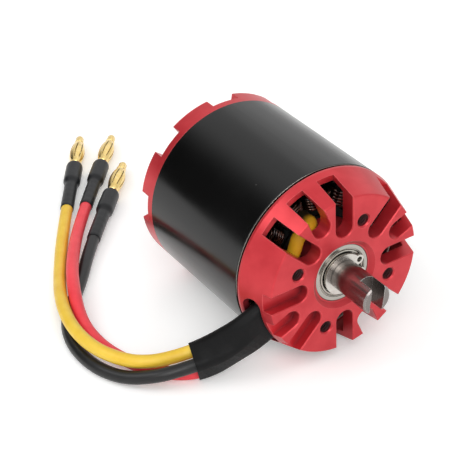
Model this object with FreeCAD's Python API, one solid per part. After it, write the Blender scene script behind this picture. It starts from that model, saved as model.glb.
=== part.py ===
import FreeCAD, Part
import math
import os
from FreeCAD import Vector

# Brushless outrunner motor lying on its side, in millimetres.
# The shaft runs along X and its free end points to +X. The mounting face is the plane X = 0
# and +Z is up. Angles about the shaft are measured from +Y towards +Z.

# ---- driving dimensions ----
body_radius = 25.0          # can, front mount rim and rear bell rim share one outer radius
mount_length = 10.4         # mounting face to the mount's rear edge
can_gap = 0.8               # running gap between the mount and the turning can
can_length = 40.1
can_wall = 1.7
bell_length = 5.4           # rim of the rear bell behind the can

cone_inset = 2.9            # the conical edge narrows by this much towards the face
face_round = 0.5
mount_rim_band = 0.7        # short cylinder behind the cone
mount_wall = 1.6
plate_thickness = 4.2
slot_width = 5.1
slot_pitch = 22.2           # degrees between neighbouring slots of one group
slot_inset = 0.3            # boss to the inner end of the two outer slots of a group
short_slot_inset = 3.9      # the middle slot starts this much further out
slot_depth = 8.0            # the slots leave an unbroken rim behind this depth
slot_chamfer = 0.25
pocket_depth = 2.7
cable_angle = -154.75       # middle of the quadrant that lets the leads out
window_start = 3.6          # depth behind the face
window_width = 5.3
window_length = 17.4
fastener_circle = 30.0      # diameter
tapped_hole_radius = 1.65
tapped_hole_chamfer = 0.4

bearing_radius = 8.0
bearing_width = 5.0
bearing_ring_wall = 1.1
ball_count = 8
shield_thickness = 0.25
shield_depth = 0.2          # shields sit this far behind the rings' faces
bearing_recess = 1.2
recess_flare = 1.5          # the recess in front of the bearing opens out by this much
recess_step = 0.35
bearing_lip = 1.0           # radial height and thickness of the stop behind the bearing

shaft_radius = 4.0
shaft_tip = 12.9
shaft_chamfer = 0.35
drive_slot_width = 4.0
drive_slot_depth = 4.7
drive_slot_turn = -4.5
ring_thickness = 0.8
ring_radial = 1.65
ring_groove = 0.2
ring_opening = 16.0         # degrees
ring_eye_turn = 22.0
ring_eye_radius = 1.35
ring_eye_hole = 0.75
ring_turn = 9.0             # middle of the opening

tube_wall = 1.6
tube_socket_lip = 1.4
tube_overhang = 2.4         # behind the stator core
boss_wall = 1.4
boss_length = 6.8           # behind the plate

tooth_count = 12
core_inset = 3.4            # can's front edge to the stator core
core_rear_room = 6.7        # stator core to the can's rear edge
core_hub_wall = 3.0
air_gap = 0.47              # stator to magnets
stem_width = 3.4
shoe_depth = 2.1
shoe_opening = 2.0
insulator_thickness = 0.6
insulator_lip = 0.4
coil_overhang = 2.8
coil_hub_gap = 0.7
coil_shoe_gap = 0.9
coil_spacing = 0.5
coil_round = 1.1
coil_fit = 0.05             # copper to insulator

magnet_count = 14
magnet_thickness = 2.2
magnet_overhang = 1.0       # past each end of the stator core
magnet_spacing = 1.0
glue_gap = 0.03

notch_count = 8
notch_angle = 18.5
notch_turn = 0.3
notch_depth = 3.3
spigot_length = 3.0
spigot_wall = 2.5
web_thickness = 3.6
web_recess = 0.5
bell_hub_wall = 5.0
bell_hub_proud = 1.7
vent_inset = 3.5            # hub to the inner end of a vent
vent_lip = 0.8              # vent's outer end to the spigot
vent_corner = 1.2
bell_rim_wall = 4.6
bell_edge_round = 0.3
spacer_length = 1.2
spacer_wall = 1.1
grub_radius = 1.5
grub_length = 4.0
grub_socket = 1.5           # across flats

wire_radius = 1.75
sleeve_wall = 0.25
sleeve_ease = 0.05          # leads to the sleeve's inside
sleeve_edges = 6            # it covers this many straights and bends of each lead
shrink_wall = 0.25
shrink_length = 24.5
plug_cup_radius = 2.3
plug_cup_length = 9.5
plug_collar_radius = 1.65
plug_collar_length = 2.5
plug_core_radius = 1.2
plug_nose_radius = 1.5
plug_nose_length = 4.6
cage_length = 11.4
cage_radius = 2.3
cage_wall = 0.25
cage_slots = 6
cage_slot_width = 0.4
cage_end_band = 1.5

seat_gap = 0.02             # between pieces that are pressed or glued together
bearing_fit = 0.0           # inner rings on the shaft
ring_play = 0.05            # retaining ring in its groove
running_gap = 0.25          # between turning and fixed faces

# ---- places along the shaft that follow from them ----
can_front = -(mount_length + can_gap)
can_back = can_front - can_length
face_radius = body_radius - cone_inset
bell_back = can_back - bell_length
bearing_front = -bearing_recess
bearing_back = bearing_front - bearing_width
socket_front = bearing_back - bearing_lip
recess_radius = bearing_radius + recess_flare
bearing_lip_radius = bearing_radius - bearing_lip
tube_radius = bearing_radius + tube_wall
tube_bore_radius = bearing_radius - tube_socket_lip
boss_back = -(plate_thickness + boss_length)
boss_radius = tube_radius + boss_wall
long_slot_radius = boss_radius + slot_inset
short_slot_radius = long_slot_radius + short_slot_inset
core_front = can_front - core_inset
core_back = can_back + core_rear_room
core_hub_radius = tube_radius + core_hub_wall
tube_back = core_back - tube_overhang
rear_bearing_front = tube_back + bearing_width
hub_front = tube_back - spacer_length
bell_hub_radius = shaft_radius + bell_hub_wall
shaft_back = bell_back - bell_hub_proud
web_back = bell_back + web_recess
web_front = web_back + web_thickness
notch_floor = bell_back + notch_depth
can_inner_radius = body_radius - can_wall
magnet_outer_radius = can_inner_radius - glue_gap
magnet_inner_radius = magnet_outer_radius - magnet_thickness
core_radius = magnet_inner_radius - air_gap
coil_inner_radius = core_hub_radius + coil_hub_gap
coil_outer_radius = core_radius - shoe_depth - coil_shoe_gap
spigot_outer_radius = can_inner_radius - seat_gap
spigot_inner_radius = spigot_outer_radius - spigot_wall
vent_inner_radius = bell_hub_radius + vent_inset
vent_outer_radius = spigot_inner_radius - vent_lip

# ---- routes of the three free leads, from inside the window to the plug ----
yellow_route = [
    (-6.2, -19.9, -5.0), (-6.3, -25.2, -8.2), (-10.2, -30.0, -13.2), (-14.6, -34.6, -18.0),
    (-16.8, -40.4, -19.4), (-18.0, -46.0, -19.2), (-22.0, -51.0, -19.2), (-30.5, -55.0, -19.2),
    (-41.5, -55.4, -19.2), (-53.0, -52.4, -19.5), (-67.5, -45.6, -22.2), (-89.2, -32.9, -22.35),
    (-110.0, -19.0, -22.35),
]
black_route = [
    (-6.2, -18.2, -8.5), (-6.1, -23.3, -12.0), (-7.2, -30.2, -15.9), (-10.2, -35.2, -18.8),
    (-11.4, -41.3, -19.5), (-14.0, -47.0, -20.8), (-20.5, -52.8, -23.0), (-30.0, -56.6, -23.25),
    (-42.0, -56.2, -23.25), (-53.0, -51.0, -23.25), (-61.2, -42.8, -23.25), (-76.6, -31.0, -22.4),
    (-90.6, -18.6, -22.4),
]
red_route = [
    (-6.2, -16.5, -12.1), (-6.2, -21.3, -15.0), (-8.9, -27.4, -19.0), (-11.2, -33.0, -22.6),
    (-13.4, -38.8, -23.15), (-18.5, -44.0, -23.25), (-26.0, -48.2, -23.25), (-35.5, -50.6, -23.2),
    (-45.0, -50.8, -21.6), (-55.5, -47.3, -19.2), (-67.2, -41.7, -19.2), (-88.0, -28.6, -22.35),
    (-107.0, -12.6, -22.35),
]
# The same leads inside the mount, from the windings to a point in line with their first run.
yellow_tail = [
    (-11.1, -5.6, 13.3), (-6.2, -5.6, 13.3), (-6.2, -9.9, 12.2), (-6.2, -11.7, 6.2),
    (-6.2, -16.2, 0.5),
]
black_tail = [(-10.2, -12.6, -6.4)]
red_tail = [(-10.2, -10.4, -10.6)]
tail_run = 3.0              # last run of each, before the window


# ---- construction helpers ----
def cylinder(radius, start, end):
    """A cylinder about the shaft axis between two X positions."""
    low = min(start, end)
    return Part.makeCylinder(radius, abs(end - start), Vector(low, 0, 0), Vector(1, 0, 0))


def ring(inner_radius, outer_radius, start, end):
    return cylinder(outer_radius, start, end).cut(cylinder(inner_radius, start, end))


def turned(profile, angle=360.0):
    """Revolve a closed outline of (x, radius) points about the shaft axis."""
    outline = [Vector(x, radius, 0) for x, radius in profile]
    outline.append(outline[0])
    face = Part.Face(Part.makePolygon(outline))
    return face.revolve(Vector(0, 0, 0), Vector(1, 0, 0), angle)


def arc_block(inner_radius, outer_radius, start, end, angle):
    """A ring segment that straddles the +Y direction."""
    corners = [(start, inner_radius), (start, outer_radius), (end, outer_radius), (end, inner_radius)]
    return around(turned(corners, angle), -angle / 2)


def around(shape, angle):
    """A copy of the shape turned about the shaft."""
    turned_copy = shape.copy()
    turned_copy.rotate(Vector(0, 0, 0), Vector(1, 0, 0), angle)
    return turned_copy


def evenly(shape, count, first_angle=0.0):
    return [around(shape, first_angle + step * 360.0 / count) for step in range(count)]


def rounded_rims(shape, size, rims):
    """Round the circular edges at the given (x, radius) places."""
    chosen = []
    for edge in shape.Edges:
        if not isinstance(edge.Curve, Part.Circle):
            continue
        for x, radius in rims:
            if abs(edge.Curve.Center.x - x) < 1e-4 and abs(edge.Curve.Radius - radius) < 1e-4:
                chosen.append(edge)
    return shape.makeFillet(size, chosen)


def slot_outline(x, half_width, centre_radius, outer_radius):
    """Outline of a radial slot with a round inner end, in the plane at x."""
    low_out = Vector(x, outer_radius, -half_width)
    low_in = Vector(x, centre_radius, -half_width)
    tip = Vector(x, centre_radius - half_width, 0)
    high_in = Vector(x, centre_radius, half_width)
    high_out = Vector(x, outer_radius, half_width)
    edges = [
        Part.LineSegment(low_out, low_in).toShape(),
        Part.Arc(low_in, tip, high_in).toShape(),
        Part.LineSegment(high_in, high_out).toShape(),
        Part.LineSegment(high_out, low_out).toShape(),
    ]
    return Part.Wire(edges)


def slot_cutter(inner_radius, depth):
    """A radial slot cut back from the mounting face, with its chamfer."""
    half_width = slot_width / 2
    centre_radius = inner_radius + half_width
    outer_radius = body_radius + 3
    outline = slot_outline(1.0, half_width, centre_radius, outer_radius)
    body = Part.Face(outline).extrude(Vector(-depth - 1.0, 0, 0))
    flare = Part.makeLoft([
        slot_outline(slot_chamfer, half_width + 2 * slot_chamfer, centre_radius, outer_radius),
        slot_outline(-slot_chamfer, half_width, centre_radius, outer_radius),
    ], True, True)
    return body.fuse(flare)


# ---- fixed half: front mount, bearing tube, stator ----
def front_mount():
    cone_back = -(mount_length - mount_rim_band)
    slope = (body_radius - face_radius) / -cone_back
    inner_front_radius = face_radius + slope * plate_thickness - mount_wall
    profile = [
        (0, recess_radius), (0, face_radius), (cone_back, body_radius),
        (-mount_length, body_radius), (-mount_length, body_radius - mount_wall),
        (cone_back, body_radius - mount_wall), (-plate_thickness, inner_front_radius),
        (-plate_thickness, boss_radius), (boss_back, boss_radius),
        (boss_back, tube_radius + seat_gap), (socket_front, tube_radius + seat_gap),
        (socket_front, bearing_lip_radius), (bearing_back, bearing_lip_radius),
        (bearing_back, bearing_radius + seat_gap), (bearing_front, bearing_radius + seat_gap),
        (bearing_front, bearing_radius + recess_step),
    ]
    mount = rounded_rims(turned(profile), face_round, [(0, face_radius)])
    through_long = slot_cutter(long_slot_radius, slot_depth)
    through_short = slot_cutter(short_slot_radius, slot_depth)
    blind_long = slot_cutter(long_slot_radius, pocket_depth)
    blind_short = slot_cutter(short_slot_radius, pocket_depth)
    hole = cylinder(tapped_hole_radius, 1, -plate_thickness - 1)
    flare = turned([
        (tapped_hole_chamfer, 0), (tapped_hole_chamfer, tapped_hole_radius + 2 * tapped_hole_chamfer),
        (-tapped_hole_chamfer, tapped_hole_radius), (-tapped_hole_chamfer, 0),
    ])
    tapped = hole.fuse(flare)
    tapped.translate(Vector(0, fastener_circle / 2, 0))
    cutters = []
    for quadrant in range(4):
        middle = cable_angle + 90 * quadrant
        long_slot = blind_long if quadrant == 0 else through_long
        short_slot = blind_short if quadrant == 0 else through_short
        cutters.append(around(long_slot, middle - slot_pitch))
        cutters.append(around(short_slot, middle))
        cutters.append(around(long_slot, middle + slot_pitch))
        cutters.append(around(tapped, middle + 45))
    cutters.append(cable_window())
    return mount.cut(cutters).removeSplitter()


def cable_window():
    """The round-ended opening in the cone that the leads leave through."""
    half_width = window_width / 2
    half_run = window_length / 2 - half_width
    depth = -window_start - half_width
    start = Vector(depth, face_radius - mount_wall - 1.5, 0)
    out = Vector(0, 1, 0)
    reach = mount_wall + 8.0
    block = Part.makeBox(window_width, reach, 2 * half_run,
                         start + Vector(-half_width, 0, -half_run))
    ends = [Part.makeCylinder(half_width, reach, start + Vector(0, 0, side * half_run), out)
            for side in (-1, 1)]
    return around(block.fuse(ends), cable_angle)


def bearing_tube():
    profile = [
        (socket_front, tube_bore_radius), (socket_front, tube_radius), (tube_back, tube_radius),
        (tube_back, bearing_radius + seat_gap), (rear_bearing_front, bearing_radius + seat_gap),
        (rear_bearing_front, tube_bore_radius),
    ]
    return turned(profile)


def lamination_stack(start, end, outer_radius, width, hub_gap):
    """Hub ring, stems and pole shoes between two X positions."""
    hub = ring(tube_radius + hub_gap, core_hub_radius, start, end)
    stem = Part.makeBox(abs(end - start), core_radius - core_hub_radius, width,
                        Vector(min(start, end), core_hub_radius - 0.5, -width / 2))
    opening = 2 * math.degrees(math.asin(shoe_opening / 2 / core_radius))
    shoe_angle = 360.0 / tooth_count - opening
    shoe = arc_block(core_radius - shoe_depth, outer_radius, start, end, shoe_angle)
    tooth = stem.fuse(shoe)
    return hub.fuse(evenly(tooth, tooth_count)).removeSplitter()


def stator_core():
    return lamination_stack(core_front, core_back, core_radius, stem_width, seat_gap)


def slot_insulator(start, end):
    return lamination_stack(start, end, core_radius - insulator_lip,
                            stem_width + 2 * insulator_lip, insulator_lip)


def coil():
    """One coil round the tooth that points to +Y."""
    half_sector = math.tan(math.pi / tooth_count)
    front = core_front + insulator_thickness + coil_overhang
    back = core_back - insulator_thickness - coil_overhang
    inner_half = coil_inner_radius * half_sector - coil_spacing / 2
    outer_half = coil_outer_radius * half_sector - coil_spacing / 2
    outline = [
        Vector(front, coil_inner_radius, -inner_half), Vector(front, coil_outer_radius, -outer_half),
        Vector(front, coil_outer_radius, outer_half), Vector(front, coil_inner_radius, inner_half),
    ]
    outline.append(outline[0])
    body = Part.Face(Part.makePolygon(outline)).extrude(Vector(back - front, 0, 0))
    sides = []
    for edge in body.Edges:
        middle = edge.CenterOfMass
        at_end = min(abs(middle.x - front), abs(middle.x - back)) < 1e-4
        if at_end and abs(middle.z) > inner_half / 2:
            sides.append(edge)
    body = body.makeFillet(coil_round, sides)
    hole_half = stem_width / 2 + insulator_lip + coil_fit
    hole_front = core_front + insulator_thickness + coil_fit
    hole_back = core_back - insulator_thickness - coil_fit
    opening = Part.makeBox(hole_front - hole_back, core_radius - coil_inner_radius, 2 * hole_half,
                           Vector(hole_back, coil_inner_radius - 1, -hole_half))
    return body.cut(opening)


def winding(first_tooth):
    """Four coils of one phase: two neighbouring teeth and the two opposite them."""
    pitch = 360.0 / tooth_count
    teeth = [first_tooth, first_tooth + 1]
    teeth += [tooth + tooth_count // 2 for tooth in teeth]
    return Part.makeCompound([around(coil(), tooth * pitch) for tooth in teeth])


# ---- ball bearings ----
def bearing_parts(front):
    """Outer ring, balls, shields and inner ring of a shielded ball bearing."""
    back = front - bearing_width
    outer_race = bearing_radius - bearing_ring_wall
    inner_race = shaft_radius + bearing_ring_wall
    ball_radius = (outer_race - inner_race - running_gap) / 2
    ball_orbit = outer_race - ball_radius - seat_gap
    outer = rounded_rims(ring(outer_race, bearing_radius, front, back), 0.25,
                         [(front, bearing_radius), (back, bearing_radius)])
    inner = rounded_rims(ring(shaft_radius + bearing_fit, inner_race, front, back), 0.15,
                         [(front, inner_race), (back, inner_race)])
    ball = Part.makeSphere(ball_radius, Vector((front + back) / 2, ball_orbit, 0))
    balls = Part.makeCompound(evenly(ball, ball_count))
    shield_outer = outer_race - seat_gap
    shield_inner = inner_race + running_gap
    shields = Part.makeCompound([
        ring(shield_inner, shield_outer, front - shield_depth, front - shield_depth - shield_thickness),
        ring(shield_inner, shield_outer, back + shield_depth, back + shield_depth + shield_thickness),
    ])
    return outer, balls, shields, inner


# ---- turning half ----
def rotor_can():
    can = ring(can_inner_radius, body_radius, can_front, can_back)
    return rounded_rims(can, 0.25, [(can_front, body_radius), (can_front, can_inner_radius)])


def magnets():
    pitch = 360.0 / magnet_count
    angle = pitch - math.degrees(magnet_spacing / magnet_inner_radius)
    middle = (core_front + core_back) / 2
    half_length = (core_front - core_back) / 2 + magnet_overhang
    magnet = arc_block(magnet_inner_radius, magnet_outer_radius,
                       middle + half_length, middle - half_length, angle)
    return Part.makeCompound(evenly(magnet, magnet_count))


def rear_bell():
    bore = shaft_radius + seat_gap
    profile = [
        (can_back + spigot_length, spigot_inner_radius),
        (can_back + spigot_length, spigot_outer_radius), (can_back, spigot_outer_radius),
        (can_back, body_radius), (bell_back, body_radius),
        (bell_back, body_radius - bell_rim_wall), (web_back, body_radius - bell_rim_wall - web_recess),
        (web_back, bell_hub_radius), (shaft_back, bell_hub_radius), (shaft_back, bore),
        (hub_front, bore), (hub_front, bell_hub_radius), (web_front, bell_hub_radius),
        (web_front, spigot_inner_radius),
    ]
    rims = [(bell_back, body_radius), (shaft_back, bell_hub_radius)]
    bell = rounded_rims(turned(profile), bell_edge_round, rims)
    vent = arc_block(vent_inner_radius, vent_outer_radius, web_front + 1, bell_back - 1, notch_angle)
    corners = [edge for edge in vent.Edges
               if isinstance(edge.Curve, Part.Line)
               and abs(edge.tangentAt(edge.FirstParameter).x) > 0.99
               and math.hypot(edge.CenterOfMass.y, edge.CenterOfMass.z) < vent_inner_radius + 0.1]
    vent = vent.makeFillet(vent_corner, corners)
    notch = arc_block(vent_outer_radius - 2.0, body_radius + 2, notch_floor, bell_back - 1, notch_angle)
    cutter = vent.fuse(notch)
    cutters = evenly(cutter, notch_count, notch_turn)
    cutters += [around(grub_cutter(), angle) for angle in grub_angles()]
    return bell.cut(cutters).removeSplitter()


def grub_angles():
    pitch = 360.0 / notch_count
    return [notch_turn + 3 * pitch, notch_turn + 5 * pitch]


def grub_place():
    return (notch_floor + bell_back) / 2


def grub_cutter():
    start = Vector(grub_place(), shaft_radius - 0.2, 0)
    return Part.makeCylinder(grub_radius + seat_gap, bell_hub_radius, start, Vector(0, 1, 0))


def grub_screws():
    start = Vector(grub_place(), shaft_radius + seat_gap, 0)
    out = Vector(0, 1, 0)
    screw = Part.makeCylinder(grub_radius, grub_length, start, out)
    screw = screw.makeChamfer(0.2, [edge for edge in screw.Edges if isinstance(edge.Curve, Part.Circle)])
    across_corners = grub_socket / math.cos(math.pi / 6)
    corners = []
    for step in range(7):
        turn = math.radians(60 * step)
        corners.append(Vector(grub_place() + across_corners / 2 * math.cos(turn),
                              shaft_radius + grub_length + 0.1,
                              across_corners / 2 * math.sin(turn)))
    socket = Part.Face(Part.makePolygon(corners)).extrude(Vector(0, -grub_length / 2, 0))
    screw = screw.cut(socket)
    return Part.makeCompound([around(screw, angle) for angle in grub_angles()])


def ring_front():
    return bearing_front + ring_play + ring_thickness


def shaft():
    body = cylinder(shaft_radius, shaft_back, shaft_tip)
    rims = [edge for edge in body.Edges if isinstance(edge.Curve, Part.Circle)]
    body = body.makeChamfer(shaft_chamfer, rims)
    groove_front = ring_front() + ring_play
    groove_back = groove_front - ring_thickness - 2 * ring_play
    groove = ring(shaft_radius - ring_groove, shaft_radius + 1, groove_back, groove_front)
    slot = Part.makeBox(drive_slot_depth + 1, drive_slot_width, 4 * shaft_radius,
                        Vector(shaft_tip - drive_slot_depth, -drive_slot_width / 2, -2 * shaft_radius))
    return body.cut([groove, around(slot, drive_slot_turn)])


def retaining_ring():
    """Open spring ring with two eyed ends, in the shaft groove."""
    front = ring_front()
    back = front - ring_thickness
    inner_radius = shaft_radius - ring_groove + seat_gap
    eye_orbit = shaft_radius + ring_radial - 0.35
    body = ring(inner_radius, shaft_radius + ring_radial, front, back)
    eye_turns = (ring_eye_turn, -ring_eye_turn)
    eye = cylinder(ring_eye_radius, front, back)
    eye.translate(Vector(0, eye_orbit, 0))
    body = body.fuse([around(eye, turn) for turn in eye_turns])
    opening = arc_block(inner_radius - 1, shaft_radius + 4, front, back, ring_opening)
    hole = cylinder(ring_eye_hole, front, back)
    hole.translate(Vector(0, eye_orbit + 0.1, 0))
    keep_clear = cylinder(inner_radius, front, back)
    cutters = [opening, keep_clear] + [around(hole, turn) for turn in eye_turns]
    return around(body.cut(cutters).removeSplitter(), ring_turn)


def rear_spacer():
    return ring(shaft_radius + seat_gap, shaft_radius + spacer_wall, hub_front, tube_back)


# ---- leads and what is on them ----
def lead_path(points, name):
    """Straight runs joined by the largest tangent arcs that fit."""
    places = [Vector(*point) for point in points]
    edges = []
    radii = []
    start = places[0]
    for before, corner, after in zip(places, places[1:], places[2:]):
        into = corner - before
        out = after - corner
        reach = 0.45 * min(into.Length, out.Length)
        into.normalize()
        out.normalize()
        half_turn = into.getAngle(out) / 2
        radii.append(reach / math.tan(half_turn))
        arc_start = corner - into * reach
        arc_end = corner + out * reach
        inward = out - into
        inward.normalize()
        sag = radii[-1] * (1 / math.cos(half_turn) - 1)
        edges.append(Part.LineSegment(start, arc_start).toShape())
        edges.append(Part.Arc(arc_start, corner + inward * sag, arc_end).toShape())
        start = arc_end
    edges.append(Part.LineSegment(start, places[-1]).toShape())
    path = Part.Wire(edges)
    print(name, "length", round(path.Length, 1), "radii", [round(radius, 1) for radius in radii])
    return path


def tube_along(path, radius):
    first = path.Edges[0]
    heading = first.tangentAt(first.FirstParameter)
    section = Part.Wire(Part.makeCircle(radius, first.valueAt(first.FirstParameter), heading))
    return path.makePipeShell([section], True, False)


def approach(route):
    """Last run of a tail: in line with the lead's first run, up to where the lead starts."""
    start = Vector(*route[0])
    heading = Vector(*route[1]) - start
    heading.normalize()
    return [tuple(start - heading * tail_run), route[0]]


def lead(path, name):
    tube = tube_along(path, wire_radius)
    expected = math.pi * wire_radius ** 2 * path.Length
    print(name, "volume over section times length", round(tube.Volume / expected, 4))
    return tube


def placed_at_end(shape, route):
    """Put a shape made along +X on the end of a route, facing the way the lead points."""
    end = Vector(*route[-1])
    heading = end - Vector(*route[-2])
    shape.Placement = FreeCAD.Placement(end, FreeCAD.Rotation(Vector(1, 0, 0), heading))
    return shape


def plug(route):
    """Solder cup, collar, thin core for the spring cage, and nose."""
    collar_end = plug_cup_length + plug_collar_length
    cage_end = collar_end + cage_length
    tip = cage_end + plug_nose_length
    body = turned([
        (0, 0), (0, plug_cup_radius), (plug_cup_length, plug_cup_radius),
        (plug_cup_length, plug_collar_radius), (collar_end, plug_collar_radius),
        (collar_end, plug_core_radius), (cage_end, plug_core_radius),
        (cage_end, plug_nose_radius), (tip - 0.8, plug_nose_radius), (tip, plug_nose_radius - 0.7),
        (tip, 0),
    ])
    return placed_at_end(body, route)


def plug_cage(route):
    """Barrel of leaf springs round the plug's core."""
    start = plug_cup_length + plug_collar_length + seat_gap
    end = start + cage_length - 2 * seat_gap
    end_radius = plug_core_radius + seat_gap + cage_wall
    widest = start + 0.42 * cage_length

    def barrel(swell, radius):
        points = [Vector(start, radius, 0), Vector(widest, swell, 0), Vector(end, radius, 0)]
        arc = Part.Arc(points[0], points[1], points[2]).toShape()
        base = [Part.LineSegment(points[2], Vector(end, 0, 0)).toShape(),
                Part.LineSegment(Vector(end, 0, 0), Vector(start, 0, 0)).toShape(),
                Part.LineSegment(Vector(start, 0, 0), points[0]).toShape()]
        face = Part.Face(Part.Wire([arc] + base))
        return face.revolve(Vector(0, 0, 0), Vector(1, 0, 0), 360)

    shell = barrel(cage_radius, end_radius).cut(barrel(cage_radius - cage_wall, end_radius - cage_wall))
    slit = Part.makeBox(cage_length - 2 * cage_end_band, 2 * cage_radius, cage_slot_width,
                        Vector(start + cage_end_band, 0, -cage_slot_width / 2))
    shell = shell.cut(evenly(slit, cage_slots))
    return placed_at_end(shell, route)


def heatshrink(route, tube):
    """Shrunk tube over the lead's end and the plug's solder cup."""
    cup_end = plug_cup_length
    thin_start = cup_end - shrink_length
    thin = wire_radius + shrink_wall
    thick = plug_cup_radius + shrink_wall
    body = turned([
        (thin_start, 0), (thin_start, thin), (-1.2, thin), (0.2, thick),
        (cup_end, thick), (cup_end, 0),
    ])
    hollow = turned([
        (0, 0), (0, plug_cup_radius + seat_gap), (cup_end + 1, plug_cup_radius + seat_gap),
        (cup_end + 1, 0),
    ])
    bore = cylinder(wire_radius + seat_gap, thin_start - 1, 0.5)
    return placed_at_end(body.cut([hollow, bore]), route).cut(tube)


def lead_sleeve(paths):
    """Thin sleeve shrunk round the three leads side by side, from inside the window."""
    covered = [Part.Wire(path.OrderedEdges[:sleeve_edges]) for path in paths]
    skins = [tube_along(path, wire_radius + sleeve_ease + sleeve_wall) for path in covered]
    channels = [tube_along(path, wire_radius + sleeve_ease) for path in covered]
    return skins[0].fuse(skins[1:]).cut(channels)


# ---- write one STEP per piece ----
def write(name, shape):
    solids = shape.Solids
    print(name, "solids", len(solids), "valid", shape.isValid(), "volume", round(shape.Volume, 1))
    shape.exportStep("parts/" + name + ".step")


def main():
    os.makedirs("parts", exist_ok=True)
    write("front_mount", front_mount())
    write("bearing_tube", bearing_tube())
    write("stator_core", stator_core())
    write("front_slot_insulator", slot_insulator(core_front + insulator_thickness, core_front))
    write("rear_slot_insulator", slot_insulator(core_back, core_back - insulator_thickness))
    for phase, first_tooth in (("a", 0), ("b", 2), ("c", 4)):
        write("winding_phase_" + phase, winding(first_tooth))

    for place, front in (("front", bearing_front), ("rear", rear_bearing_front)):
        outer, balls, shields, inner = bearing_parts(front)
        write(place + "_bearing_outer_ring", outer)
        write(place + "_bearing_balls", balls)
        write(place + "_bearing_shields", shields)
        write(place + "_bearing_inner_ring", inner)

    write("rotor_can", rotor_can())
    write("magnets", magnets())
    write("rear_bell", rear_bell())
    write("bell_grub_screws", grub_screws())
    write("shaft", shaft())
    write("retaining_ring", retaining_ring())
    write("rear_spacer", rear_spacer())

    routes = (("yellow", yellow_route, yellow_tail), ("black", black_route, black_tail),
              ("red", red_route, red_tail))
    paths = []
    for colour, route, tail in routes:
        path = lead_path(route, colour + "_lead")
        paths.append(path)
        tube = lead(path, colour + "_lead")
        write(colour + "_lead", tube)
        tail_path = lead_path(tail + approach(route), colour + "_lead_tail")
        write(colour + "_lead_tail", lead(tail_path, colour + "_lead_tail"))
        write(colour + "_plug", plug(route))
        write(colour + "_plug_cage", plug_cage(route))
        write(colour + "_heatshrink", heatshrink(route, tube))
    write("lead_sleeve", lead_sleeve(paths))


main()
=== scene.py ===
import bpy
import math
import random
from mathutils import Vector, Matrix


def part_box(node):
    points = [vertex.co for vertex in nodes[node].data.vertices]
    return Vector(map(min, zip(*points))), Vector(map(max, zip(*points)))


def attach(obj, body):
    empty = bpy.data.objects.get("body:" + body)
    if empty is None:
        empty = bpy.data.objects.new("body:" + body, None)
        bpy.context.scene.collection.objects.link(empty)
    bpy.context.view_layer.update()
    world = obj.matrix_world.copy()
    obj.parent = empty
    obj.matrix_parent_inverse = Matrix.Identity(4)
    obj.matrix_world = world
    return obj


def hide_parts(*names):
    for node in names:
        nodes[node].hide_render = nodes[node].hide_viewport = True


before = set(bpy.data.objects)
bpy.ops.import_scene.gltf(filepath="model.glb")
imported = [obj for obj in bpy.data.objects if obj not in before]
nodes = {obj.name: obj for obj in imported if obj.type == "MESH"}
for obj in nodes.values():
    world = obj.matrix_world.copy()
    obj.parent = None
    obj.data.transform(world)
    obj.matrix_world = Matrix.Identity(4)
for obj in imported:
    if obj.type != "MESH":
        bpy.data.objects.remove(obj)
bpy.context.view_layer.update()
mm = 0.001
print("frame loaded:", len(nodes), "nodes")

# metres, the shaft runs along X and the motor lies on the plane floorHeight
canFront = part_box("rotor_can")[1][0]
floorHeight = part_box("front_mount")[0][2]


# small helpers
def hexColour(text):
    # sRGB hex to linear
    channels = [int(text[i:i + 2], 16) / 255 for i in (1, 3, 5)]
    linear = [c / 12.92 if c <= 0.04045 else ((c + 0.055) / 1.055) ** 2.4 for c in channels]
    return (*linear, 1.0)


def setNode(tree, node, values):
    # a value goes to the input or the attribute of its name: a socket is linked, hex text is a colour
    for name, value in values.items():
        if isinstance(name, str) and name not in node.inputs:
            setattr(node, name, value)
        elif isinstance(value, bpy.types.NodeSocket):
            tree.links.new(value, node.inputs[name])
        elif isinstance(value, str):
            node.inputs[name].default_value = hexColour(value)
        else:
            node.inputs[name].default_value = value


def addNode(tree, kind, values):
    # a Mix node of colours has its factor at input 0, its colours at 6 and 7 and its result at output 2
    node = tree.nodes.new(kind)
    setNode(tree, node, values)
    return node


def newMaterial(name, base, metallic, roughness):
    material = bpy.data.materials.new(name)
    material.use_nodes = True
    tree = material.node_tree
    shader = tree.nodes["Principled BSDF"]
    setNode(tree, shader, {"Base Color": base, "Metallic": metallic, "Roughness": roughness})
    return material, tree, shader


noiseRange = (0.3, 0.7)  # a noise texture mostly stays between these


def mottle(tree, where, size, detail, low, high, spread=(0.0, 1.0)):
    # two colours that drift into each other over a real size, and the pattern behind them
    noise = addNode(tree, "ShaderNodeTexNoise", {"Vector": where, "Scale": 1 / size, "Detail": detail})
    share = addNode(tree, "ShaderNodeMapRange", {
        "Value": noise.outputs["Fac"], "From Min": spread[0], "From Max": spread[1]})
    colour = addNode(tree, "ShaderNodeMix", {
        "data_type": "RGBA", 0: share.outputs["Result"], 6: low, 7: high})
    return colour.outputs[2], noise.outputs["Fac"]


# settings of the painted edge highlight: a paler colour where the rounded normal turns from the flat one,
# kept off inside corners
edgeLightSettings = {
    "bevelSamples": 6,
    "unturned": 0.995,  # cosine between the flat and the rounded normal where the painted highlight starts
    "opennessSamples": 8,
    "openness": (0.66, 0.84),  # an inside corner lies below these
}


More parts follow.
